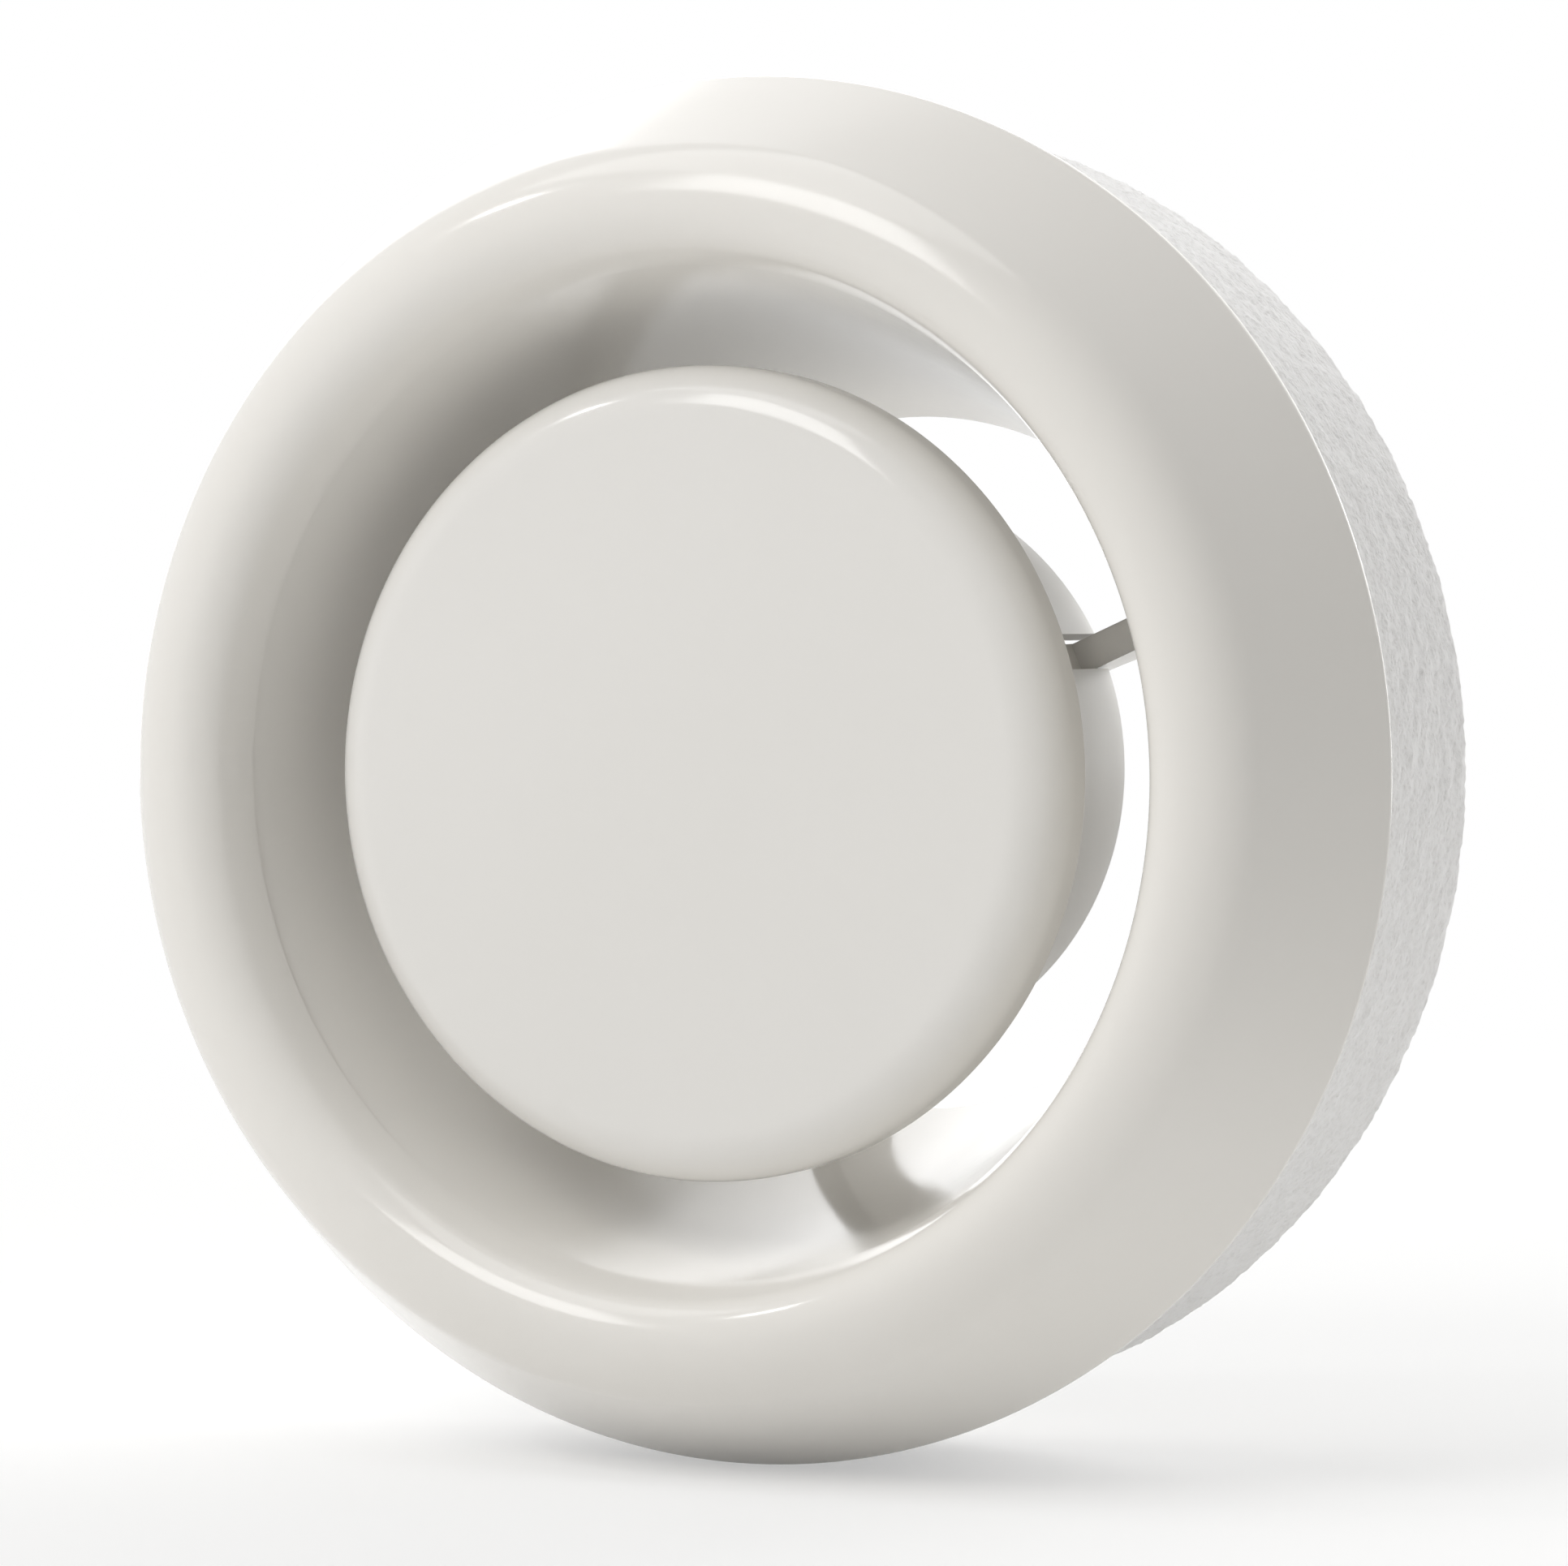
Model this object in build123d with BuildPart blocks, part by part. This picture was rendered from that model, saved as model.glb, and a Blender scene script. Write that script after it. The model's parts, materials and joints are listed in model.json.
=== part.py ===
import math
import os
from build123d import *

os.makedirs("parts", exist_ok=True)

# Millimetres. Valve axis along Y, room side towards -Y, Z up, wall plane at y = 0.
# Sketch x is the radius and sketch y the axial position, turned about the Y axis.

# valve body
flange_r = 75.0
rim_land = 0.8
skirt_angle = 27.5
lip_r = 7.82
crest_y = -20.5
funnel_lip_r = 5.0
mouth_angle = 22.5
bell_r = 30.0
neck_angle = 14.2
neck_len = 58.3
mouth_step = 0.3
wall = 2.2
rib_count = 12
rib_t = 1.6
foam_seat_y = -0.5

# guide fins and hub
fin_count = 3
fin_start = 24.0
fin_t = 3.6
fin_back = 17.0
fin_depth = 4.6
fin_foot = 11.0
hub_r = 9.0
hub_len = 22.4
hub_back = 8.0
hub_edge = 0.6

# disc
disc_front_y = -15.0
disc_edge_r = 5.5
disc_rear_y = -6.5
disc_wall = 2.0
disc_rib_count = 6
disc_rib_h = 4.0
boss_r = 11.0
boss_rear_y = -5.0
spigot_r = 8.0
spigot_rear_y = 1.0

# guide drum
drum_wall = 1.8
web_t = 2.0
fin_hold = 2.0

# spindle, retaining ring and stop nut
spindle_r = 5.0
travel_out = 1.0
ring_t = 1.2
ring_r = 11.5
ring_depth = 0.8
nut_af = 17.0
nut_t = 5.0
spindle_end = 1.5

# foam ring
foam_inset = 2.7
foam_back = 13.5
foam_edge = 2.5

# air gaps round the disc and round the drum
inlet_gap = 9.0
passage = 7.55

# clearances
turn_gap = 0.3
slot_gap = 0.3
thread_gap = 0.08
push_gap = 0.05
foam_gap = 0.3
stop_gap = 0.6

sa = math.sin(math.radians(skirt_angle))
ca = math.cos(math.radians(skirt_angle))
sm = math.sin(math.radians(mouth_angle))
cm = math.cos(math.radians(mouth_angle))
sn = math.sin(math.radians(neck_angle))
cn = math.cos(math.radians(neck_angle))
tn = math.tan(math.radians(neck_angle))
mid_angle = math.radians((mouth_angle + neck_angle) / 2)

# crest of the lip: skirt cone, lip arc and crest run into one another
skirt_run = -rim_land - crest_y
crest_r = flange_r - skirt_run * sa / ca - lip_r * (ca - (1 - sa) * sa / ca)
lip_y = crest_y + lip_r
cone_top = (crest_r + lip_r * ca, lip_y - lip_r * sa)
lip_mid = (crest_r + lip_r * math.sin(math.radians(45 - skirt_angle / 2)),
           lip_y - lip_r * math.cos(math.radians(45 - skirt_angle / 2)))

# mouth: a tight arc from the crest, then a wide arc that ends on a fine edge round the conical neck
mouth_y = crest_y + funnel_lip_r
mouth_mid = (crest_r - funnel_lip_r * math.sin(math.radians(45 - mouth_angle / 2)),
             mouth_y - funnel_lip_r * math.cos(math.radians(45 - mouth_angle / 2)))
mouth_end = (crest_r - funnel_lip_r * cm, mouth_y - funnel_lip_r * sm)
bell_c = (mouth_end[0] + bell_r * cm, mouth_end[1] + bell_r * sm)
bell_mid = (bell_c[0] - bell_r * math.cos(mid_angle), bell_c[1] - bell_r * math.sin(mid_angle))
bell_end = (bell_c[0] - bell_r * cn, bell_c[1] - bell_r * sn)
neck_front_r = bell_end[0] + mouth_step
neck_rear_y = bell_end[1] + neck_len
neck_rear_r = neck_front_r - neck_len * tn

# the same outline one wall thickness further in, on the hidden side
in_lip = lip_r - wall
in_mouth = funnel_lip_r - wall
rim_in_r = flange_r + rim_land * sa / ca - wall / ca
in_cone_top = (crest_r + in_lip * ca, lip_y - in_lip * sa)
in_lip_mid = (crest_r + in_lip * math.sin(math.radians(45 - skirt_angle / 2)),
              lip_y - in_lip * math.cos(math.radians(45 - skirt_angle / 2)))
in_mouth_mid = (crest_r - in_mouth * math.sin(math.radians(45 - mouth_angle / 2)),
                mouth_y - in_mouth * math.cos(math.radians(45 - mouth_angle / 2)))
in_mouth_end = (crest_r - in_mouth * cm, mouth_y - in_mouth * sm)
in_bell = bell_r - wall
in_bell_mid = (bell_c[0] - in_bell * math.cos(mid_angle), bell_c[1] - in_bell * math.sin(mid_angle))
in_bell_end = (bell_c[0] - in_bell * cn, bell_c[1] - in_bell * sn)
neck_out_r = in_bell_end[0] - (neck_rear_y - in_bell_end[1]) * tn

# places that follow from the mouth and the neck
fin_front_y = neck_rear_y - fin_back
hub_rear_y = neck_rear_y - hub_back
hub_front_y = hub_rear_y - hub_len
fin_foot_r = neck_rear_r + fin_back * tn
disc_r = neck_front_r - (disc_rear_y - bell_end[1]) * tn - inlet_gap
drum_r = neck_rear_r - passage
drum_in_r = drum_r - drum_wall
drum_rear_y = fin_front_y + fin_hold
travel_in = hub_front_y - spigot_rear_y - stop_gap
foam_r = flange_r - foam_inset
foam_rear_y = neck_rear_y - foam_back

fin_angles = [fin_start + 360 / fin_count * i for i in range(fin_count)]
fin_planes = []
for angle in fin_angles:
    c = math.cos(math.radians(angle))
    s = math.sin(math.radians(angle))
    fin_planes.append(Plane(origin=(0, 0, 0), x_dir=(c, 0, s), z_dir=(-s, 0, c)))

# shell of the body
with BuildPart() as body:
    with BuildSketch(Plane.XY):
        with BuildLine():
            Line((rim_in_r, 0), (flange_r, 0))
            Line((flange_r, 0), (flange_r, -rim_land))
            Line((flange_r, -rim_land), cone_top)
            ThreePointArc(cone_top, lip_mid, (crest_r, crest_y))
            ThreePointArc((crest_r, crest_y), mouth_mid, mouth_end)
            ThreePointArc(mouth_end, bell_mid, bell_end)
            Line(bell_end, (neck_front_r, bell_end[1]))
            Line((neck_front_r, bell_end[1]), (neck_rear_r, neck_rear_y))
            Line((neck_rear_r, neck_rear_y), (neck_out_r, neck_rear_y))
            Line((neck_out_r, neck_rear_y), in_bell_end)
            ThreePointArc(in_bell_end, in_bell_mid, in_mouth_end)
            ThreePointArc(in_mouth_end, in_mouth_mid, (crest_r, crest_y + wall))
            ThreePointArc((crest_r, crest_y + wall), in_lip_mid, in_cone_top)
            Line(in_cone_top, (rim_in_r, 0))
        make_face()
    revolve(axis=Axis.Y)
    rear = body.edges().filter_by(GeomType.CIRCLE)
    rear = rear.filter_by(lambda e: abs(e.arc_center.Y - neck_rear_y) < 0.01)
    fillet(rear, wall * 0.25)
    # radial stiffening ribs inside the hollow skirt
    for i in range(rib_count):
        a = math.radians(fin_start + 360 / rib_count * (i + 0.5))
        rib_plane = Plane(origin=(0, 0, 0), x_dir=(math.cos(a), 0, math.sin(a)),
                          z_dir=(-math.sin(a), 0, math.cos(a)))
        rib_low = in_bell_end[0] - (foam_seat_y - in_bell_end[1]) * tn - wall * 0.4
        rib_high = rim_in_r + foam_seat_y * sa / ca + wall * 0.4
        with BuildSketch(rib_plane):
            with BuildLine():
                Polyline((rib_low, foam_seat_y), (rib_high, foam_seat_y),
                         (in_cone_top[0] + wall * 0.4, in_cone_top[1]), (crest_r, crest_y + wall * 0.6),
                         (in_mouth_end[0] - wall * 0.4, in_mouth_end[1]),
                         (in_bell_end[0] - wall * 0.4, in_bell_end[1]), close=True)
            make_face()
        extrude(amount=rib_t / 2, both=True)
    # fins: a deep root that guides the drum from inside, an arm through its slot, and a swept foot
    fin_rear_y = fin_front_y + fin_depth
    root_r = drum_in_r - turn_gap
    foot_end = (neck_rear_r - wall * 0.2, neck_rear_y - wall * 0.4)
    for plane in fin_planes:
        with BuildSketch(plane):
            with BuildLine():
                Polyline((neck_rear_r - fin_foot, fin_rear_y), (hub_r - hub_edge, fin_rear_y),
                         (hub_r - hub_edge, hub_front_y + hub_edge), (root_r, hub_front_y + hub_edge),
                         (root_r, fin_front_y), (fin_foot_r + wall * 0.5, fin_front_y),
                         (neck_rear_r + wall * 0.5, neck_rear_y - wall * 0.4), foot_end)
                TangentArc((neck_rear_r - fin_foot, fin_rear_y), foot_end, tangent=(1, 0))
            make_face()
        extrude(amount=fin_t / 2, both=True)
    # hub with a bore for the spindle
    bore_r = spindle_r + thread_gap
    with BuildSketch(Plane.XY):
        with BuildLine():
            Polyline((0, hub_front_y), (hub_r - hub_edge, hub_front_y), (hub_r, hub_front_y + hub_edge),
                     (hub_r, hub_rear_y - hub_edge), (hub_r - hub_edge, hub_rear_y), (0, hub_rear_y), close=True)
        make_face()
    revolve(axis=Axis.Y)
    with BuildSketch(Plane.XY):
        with BuildLine():
            Polyline((0, hub_front_y), (bore_r + hub_edge, hub_front_y), (bore_r, hub_front_y + hub_edge),
                     (bore_r, hub_rear_y - hub_edge), (bore_r + hub_edge, hub_rear_y), (0, hub_rear_y),
                     close=True)
        make_face()
    revolve(axis=Axis.Y, mode=Mode.SUBTRACT)
body.part.label = "valve_body"
export_step(body.part, "parts/valve_body.step")

# front disc: dished shell, ribs and boss, with a stepped spigot for the drum
in_edge = disc_edge_r - disc_wall
plate_y = disc_front_y + disc_wall
groove_y = boss_rear_y + turn_gap + web_t + turn_gap
with BuildPart() as disc:
    with BuildSketch(Plane.XY):
        with BuildLine():
            Line((0, disc_front_y), (disc_r - disc_edge_r, disc_front_y))
            RadiusArc((disc_r - disc_edge_r, disc_front_y), (disc_r, disc_front_y + disc_edge_r), -disc_edge_r)
            Line((disc_r, disc_front_y + disc_edge_r), (disc_r, disc_rear_y))
            Line((disc_r, disc_rear_y), (disc_r - disc_wall, disc_rear_y))
            Line((disc_r - disc_wall, disc_rear_y), (disc_r - disc_wall, disc_front_y + disc_edge_r))
            RadiusArc((disc_r - disc_wall, disc_front_y + disc_edge_r), (disc_r - disc_edge_r, plate_y), in_edge)
            Polyline((disc_r - disc_edge_r, plate_y), (boss_r, plate_y), (boss_r, boss_rear_y),
                     (spigot_r, boss_rear_y), (spigot_r, groove_y),
                     (spigot_r - ring_depth, groove_y), (spigot_r - ring_depth, groove_y + ring_t + 0.2),
                     (spigot_r, groove_y + ring_t + 0.2), (spigot_r, spigot_rear_y),
                     (spindle_r + push_gap, spigot_rear_y), (spindle_r + push_gap, plate_y),
                     (0, plate_y), (0, disc_front_y))
        make_face()
    revolve(axis=Axis.Y)
    rim = disc.edges().filter_by(GeomType.CIRCLE)
    rim = rim.filter_by(lambda e: abs(e.arc_center.Y - disc_rear_y) < 0.01)
    fillet(rim, disc_wall * 0.3)
    for i in range(disc_rib_count):
        a = math.radians(360 / disc_rib_count * i)
        rib_plane = Plane(origin=(0, 0, 0), x_dir=(math.cos(a), 0, math.sin(a)),
                          z_dir=(-math.sin(a), 0, math.cos(a)))
        with BuildSketch(rib_plane):
            with BuildLine():
                Polyline((boss_r - 0.5, plate_y - 0.5), (disc_r - disc_edge_r, plate_y - 0.5),
                         (disc_r - disc_edge_r, plate_y), (boss_r - 0.5, plate_y + disc_rib_h), close=True)
            make_face()
        extrude(amount=rib_t / 2, both=True)
disc.part.label = "valve_disc"
export_step(disc.part, "parts/valve_disc.step")

# guide drum: cup with a web round the spigot and a slot for each fin
web_y = boss_rear_y + turn_gap
slot_w = fin_t + 2 * slot_gap
slot_end_y = fin_front_y - travel_in - slot_gap - slot_w / 2
with BuildPart() as drum:
    with BuildSketch(Plane.XY):
        with BuildLine():
            Polyline((spigot_r + turn_gap, web_y), (drum_r, web_y), (drum_r, drum_rear_y),
                     (drum_in_r, drum_rear_y), (drum_in_r, web_y + web_t),
                     (spigot_r + turn_gap, web_y + web_t), close=True)
        make_face()
    revolve(axis=Axis.Y)
    corner = drum.edges().filter_by(GeomType.CIRCLE)
    corner = corner.filter_by(lambda e: abs(e.radius - drum_r) < 0.01 and abs(e.arc_center.Y - web_y) < 0.01)
    fillet(corner, drum_wall * 0.8)
    for plane in fin_planes:
        with BuildSketch(plane.offset(0).rotated((0, 90, 0))):
            with BuildLine():
                Line((-slot_w / 2, drum_rear_y + 1), (slot_w / 2, drum_rear_y + 1))
                Line((slot_w / 2, drum_rear_y + 1), (slot_w / 2, slot_end_y + slot_w / 2))
                ThreePointArc((slot_w / 2, slot_end_y + slot_w / 2), (0, slot_end_y),
                              (-slot_w / 2, slot_end_y + slot_w / 2))
                Line((-slot_w / 2, slot_end_y + slot_w / 2), (-slot_w / 2, drum_rear_y + 1))
            make_face()
        extrude(amount=drum_r + 1, mode=Mode.SUBTRACT)
    lip = drum.edges().filter_by(GeomType.CIRCLE)
    lip = lip.filter_by(lambda e: abs(e.arc_center.Y - drum_rear_y) < 0.01)
    fillet(lip, drum_wall * 0.3)
drum.part.label = "guide_drum"
export_step(drum.part, "parts/guide_drum.step")

# spindle and the nut at its end
nut_y = hub_rear_y + travel_out + stop_gap
spindle_y = nut_y + nut_t + spindle_end
with BuildPart() as spindle:
    with BuildSketch(Plane.XZ.offset(-plate_y)):
        Circle(spindle_r)
    extrude(amount=-(spindle_y - plate_y))
    tips = spindle.edges().filter_by(GeomType.CIRCLE)
    chamfer(tips, 0.8)
spindle.part.label = "spindle"
export_step(spindle.part, "parts/spindle.step")

with BuildPart() as nut:
    with BuildSketch(Plane.XZ.offset(-nut_y)):
        RegularPolygon(nut_af / 2, 6, major_radius=False)
        Circle(spindle_r + push_gap, mode=Mode.SUBTRACT)
    extrude(amount=-nut_t)
    with BuildSketch(Plane.XY):
        with BuildLine():
            Polyline((nut_af * 0.47, nut_y), (nut_af, nut_y), (nut_af, nut_y + nut_af * 0.4), close=True)
        make_face()
    revolve(axis=Axis.Y, mode=Mode.SUBTRACT)
    with BuildSketch(Plane.XY):
        with BuildLine():
            Polyline((nut_af * 0.47, nut_y + nut_t), (nut_af, nut_y + nut_t),
                     (nut_af, nut_y + nut_t - nut_af * 0.4), close=True)
        make_face()
    revolve(axis=Axis.Y, mode=Mode.SUBTRACT)
nut.part.label = "stop_nut"
export_step(nut.part, "parts/stop_nut.step")

# open spring ring in the spigot's groove
ring_in_r = spigot_r - ring_depth + push_gap
with BuildPart() as ring:
    with BuildSketch(Plane.XZ.offset(-(groove_y + 0.1))):
        Circle(ring_r)
        Circle(ring_in_r, mode=Mode.SUBTRACT)
        with Locations((0, ring_r)):
            Rectangle(ring_in_r * 1.3, ring_r * 1.6, mode=Mode.SUBTRACT)
    extrude(amount=-ring_t)
    tips = ring.edges().filter_by(Axis.Y)
    fillet(tips, 0.6)
ring.part.label = "retaining_ring"
export_step(ring.part, "parts/retaining_ring.step")

# foam ring: follows the outside of funnel and neck
foam_in_r = in_bell_end[0] - (foam_seat_y - in_bell_end[1]) * tn + foam_gap / cn
foam_neck_r = in_bell_end[0] - (foam_rear_y - in_bell_end[1]) * tn + foam_gap / cn
with BuildPart() as foam:
    with BuildSketch(Plane.XY):
        with BuildLine():
            Polyline((foam_in_r, foam_seat_y), (foam_r + foam_seat_y, foam_seat_y), (foam_r, 0),
                     (foam_r, foam_rear_y), (foam_neck_r, foam_rear_y), close=True)
        make_face()
    revolve(axis=Axis.Y)
    soft = foam.edges().filter_by(GeomType.CIRCLE)
    soft = soft.filter_by(lambda e: e.arc_center.Y > foam_rear_y - 0.01)
    fillet(soft, foam_edge)
foam.part.label = "foam_ring"
export_step(foam.part, "parts/foam_ring.step")
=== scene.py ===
import bpy
import bmesh
import json
import math
from mathutils import Matrix, Vector, noise

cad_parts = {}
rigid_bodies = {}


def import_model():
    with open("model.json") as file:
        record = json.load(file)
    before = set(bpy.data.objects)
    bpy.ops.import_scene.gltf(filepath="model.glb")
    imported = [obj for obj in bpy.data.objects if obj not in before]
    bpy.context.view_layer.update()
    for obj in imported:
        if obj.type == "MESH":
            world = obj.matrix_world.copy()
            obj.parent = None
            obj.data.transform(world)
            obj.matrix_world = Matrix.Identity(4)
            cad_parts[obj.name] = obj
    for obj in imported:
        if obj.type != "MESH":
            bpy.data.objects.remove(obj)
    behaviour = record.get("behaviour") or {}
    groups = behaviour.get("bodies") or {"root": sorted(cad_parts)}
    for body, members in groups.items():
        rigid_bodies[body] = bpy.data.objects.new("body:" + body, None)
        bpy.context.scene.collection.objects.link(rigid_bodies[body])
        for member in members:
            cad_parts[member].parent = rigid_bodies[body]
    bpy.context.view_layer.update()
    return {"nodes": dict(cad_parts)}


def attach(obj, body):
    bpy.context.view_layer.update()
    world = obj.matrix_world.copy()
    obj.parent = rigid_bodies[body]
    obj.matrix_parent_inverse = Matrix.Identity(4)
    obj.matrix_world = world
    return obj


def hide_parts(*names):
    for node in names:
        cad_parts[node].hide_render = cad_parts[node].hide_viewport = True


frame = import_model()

nodes = frame["nodes"]
mm = 0.001
alongY = Vector((0, 1, 0))
sharpEdge = 32  # degrees between faces from which an edge is shaded sharp


# mesh helpers

def spokeAt(degrees):
    # the direction out from the axis and the one across it
    a = math.radians(degrees)
    return Vector((math.cos(a), 0, math.sin(a))), Vector((-math.sin(a), 0, math.cos(a)))


def roundedOutline(corners, arcSteps, arcTurn=0.8, closest=1e-4):
    # closed outline of (radius, depth) points, each corner rounded by its own radius;
    # arcs that turn more than arcTurn radians have more steps
    outline = []
    count = len(corners)
    for i, (r, y, soft) in enumerate(corners):
        here = Vector((r, y))
        back = Vector(corners[i - 1][:2]) - here
        ahead = Vector(corners[(i + 1) % count][:2]) - here
        if soft <= 0:
            outline.append(here)
            continue
        turn = math.pi - back.angle(ahead)
        reach = soft * math.tan(turn / 2)
        start = here + back.normalized() * reach
        end = here + ahead.normalized() * reach
        middle = (back.normalized() + ahead.normalized()).normalized()
        centre = here + middle * (soft / math.cos(turn / 2))
        steps = max(2, int(arcSteps * max(1.0, turn / arcTurn)))
        first, last = start - centre, end - centre
        for k in range(steps + 1):
            point = centre + first.slerp(last, k / steps) * soft
            if not outline or (point - outline[-1]).length > closest:
                outline.append(point)
    return outline


def ringsInto(bm, points, spokes):
    # the (radius, depth) points in millimetres, set out at every spoke round the Y axis
    rings = []
    for s in range(spokes):
        a = 2 * math.pi * s / spokes
        ca, sa = math.cos(a), math.sin(a)
        rings.append([bm.verts.new((p.x * ca * mm, p.y * mm, p.x * sa * mm)) for p in points])
    return rings


def latheInto(bm, outline, spokes):
    # turns a closed outline about the Y axis
    rings = ringsInto(bm, outline, spokes)
    count = len(outline)
    for s in range(spokes):
        near, far = rings[s], rings[(s + 1) % spokes]
        for k in range(count):
            n = (k + 1) % count
            bm.faces.new((near[k], near[n], far[n], far[k]))


def discInto(bm, outline, spokes):
    # like latheInto, for an outline that starts and ends on the axis
    tips = [bm.verts.new((0, outline[0].y * mm, 0)), bm.verts.new((0, outline[-1].y * mm, 0))]
    body = outline[1:-1]
    rings = ringsInto(bm, body, spokes)
    for s in range(spokes):
        near, far = rings[s], rings[(s + 1) % spokes]
        for k in range(len(body) - 1):
            bm.faces.new((near[k], near[k + 1], far[k + 1], far[k]))
        bm.faces.new((tips[0], near[0], far[0]))
        bm.faces.new((near[-1], tips[1], far[-1]))


def plateInto(bm, outline, axisX, axisUp, axisOut, low, high, soft=0.0):
    # flat plate: outline in the plane of axisX and axisUp, thickness low to high along axisOut
    lower = [bm.verts.new((axisX * p[0] + axisUp * p[1] + axisOut * low) * mm) for p in outline]
    upper = [bm.verts.new((axisX * p[0] + axisUp * p[1] + axisOut * high) * mm) for p in outline]
    bm.faces.new(lower)
    bm.faces.new(upper[::-1])
    count = len(outline)
    for k in range(count):
        n = (k + 1) % count
        bm.faces.new((lower[k], upper[k], upper[n], lower[n]))
    if soft > 0:
        # the edges round both flat sides
        ring = []
        for flat in (lower, upper):
            ring += [e for e in {e for v in flat for e in v.link_edges} if all(w in flat for w in e.verts)]
        bmesh.ops.bevel(bm, geom=ring, offset=soft * mm, segments=3, profile=0.5, affect="EDGES")


def finishMesh(name, bm, sharpAngle=sharpEdge):
    bmesh.ops.recalc_face_normals(bm, faces=bm.faces)
    mesh = bpy.data.meshes.new(name)
    bm.to_mesh(mesh)
    bm.free()
    mesh.shade_smooth()
    mesh.set_sharp_from_angle(angle=math.radians(sharpAngle))
    piece = bpy.data.objects.new(name, mesh)
    bpy.context.scene.collection.objects.link(piece)
    return piece


def placeIn(piece, body, slotName, *standsFor):
    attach(piece, body)
    if standsFor:
        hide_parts(*standsFor)


# materials

def newGroup(name, inputs, outputs):
    group = bpy.data.node_groups.new(name, "ShaderNodeTree")
    for label, kind, value in inputs:
        socket = group.interface.new_socket(name=label, in_out="INPUT", socket_type=kind)
        socket.default_value = value
    for label, kind in outputs:
        group.interface.new_socket(name=label, in_out="OUTPUT", socket_type=kind)
    return group, group.nodes.new("NodeGroupInput"), group.nodes.new("NodeGroupOutput")


def noiseNode(tree, where, scale, detail, rough=0.55):
    n = tree.nodes.new("ShaderNodeTexNoise")
    n.inputs["Scale"].default_value = scale
    n.inputs["Detail"].default_value = detail
    n.inputs["Roughness"].default_value = rough
    tree.links.new(where, n.inputs["Vector"])
    return n.outputs["Fac"]


def mapNode(tree, value, low, high, toLow, toHigh, smooth=False):
    n = tree.nodes.new("ShaderNodeMapRange")
    if smooth:
        n.interpolation_type = "SMOOTHSTEP"
    for label, number in (("From Min", low), ("From Max", high), ("To Min", toLow), ("To Max", toHigh)):
        n.inputs[label].default_value = number
    tree.links.new(value, n.inputs["Value"])
    return n.outputs["Result"]


def mathNode(tree, operation, first, second):
    n = tree.nodes.new("ShaderNodeMath")
    n.operation = operation
    tree.links.new(first, n.inputs[0])
    tree.links.new(second, n.inputs[1])
    return n.outputs[0]


def blendNode(tree, factor, first, second):
    n = tree.nodes.new("ShaderNodeMix")
    n.data_type = "RGBA"
    tree.links.new(factor, n.inputs["Factor"])
    tree.links.new(first, n.inputs["A"])
    tree.links.new(second, n.inputs["B"])
    return n.outputs["Result"]


def seenRays(tree):
    # 1 for what the camera sees, straight or mirrored
    ray = tree.nodes.new("ShaderNodeLightPath")
    return mathNode(tree, "MAXIMUM", ray.outputs["Is Camera Ray"], ray.outputs["Is Glossy Ray"])


skinOutputs = (
    ("Color", "NodeSocketColor"), ("Roughness", "NodeSocketFloat"), ("Normal", "NodeSocketVector"))

mouldedForm = {
    "driftScale": 16.0, "driftDetail": 2.0, "driftFrom": 0.35, "driftTo": 0.65,
    "cloudScale": 55.0, "cloudDetail": 4.0, "cloudFrom": 0.3, "cloudTo": 0.7,
    "glossier": -0.03, "duller": 0.04, "peelScale": 900.0, "peelDetail": 2.0, "peelHeight": 0.0002,
}


def buildMouldedSkin(f):
    # moulded plastic: faint tone drift, uneven gloss and a very fine orange peel
    group, gin, gout = newGroup(
        "mouldedSkin",
        (("Tone", "NodeSocketColor", (0.8, 0.8, 0.78, 1)),
         ("Shade", "NodeSocketColor", (0.76, 0.76, 0.73, 1)),
         ("Gloss", "NodeSocketFloat", 0.2), ("Peel", "NodeSocketFloat", 0.02)),
        skinOutputs)
    place = group.nodes.new("ShaderNodeTexCoord").outputs["Object"]
    drift = noiseNode(group, place, f["driftScale"], f["driftDetail"])
    drifted = mapNode(group, drift, f["driftFrom"], f["driftTo"], 0.0, 1.0)
    tone = blendNode(group, drifted, gin.outputs["Tone"], gin.outputs["Shade"])
    group.links.new(tone, gout.inputs["Color"])
    cloudy = noiseNode(group, place, f["cloudScale"], f["cloudDetail"])
    uneven = mapNode(group, cloudy, f["cloudFrom"], f["cloudTo"], f["glossier"], f["duller"])
    group.links.new(mathNode(group, "ADD", gin.outputs["Gloss"], uneven), gout.inputs["Roughness"])
    bump = group.nodes.new("ShaderNodeBump")
    bump.inputs["Distance"].default_value = f["peelHeight"]
    group.links.new(gin.outputs["Peel"], bump.inputs["Strength"])
    group.links.new(noiseNode(group, place, f["peelScale"], f["peelDetail"]), bump.inputs["Height"])
    group.links.new(bump.outputs["Normal"], gout.inputs["Normal"])
    return group


cellForm = {
    "poreFrom": 0.1, "poreTo": 0.75, "grainScale": 1900.0, "grainDetail": 3.0, "grainRough": 0.7,
    "speckFrom": 0.35, "speckTo": 0.7, "glossiest": 0.86, "dentDepth": 0.0005,
}


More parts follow.
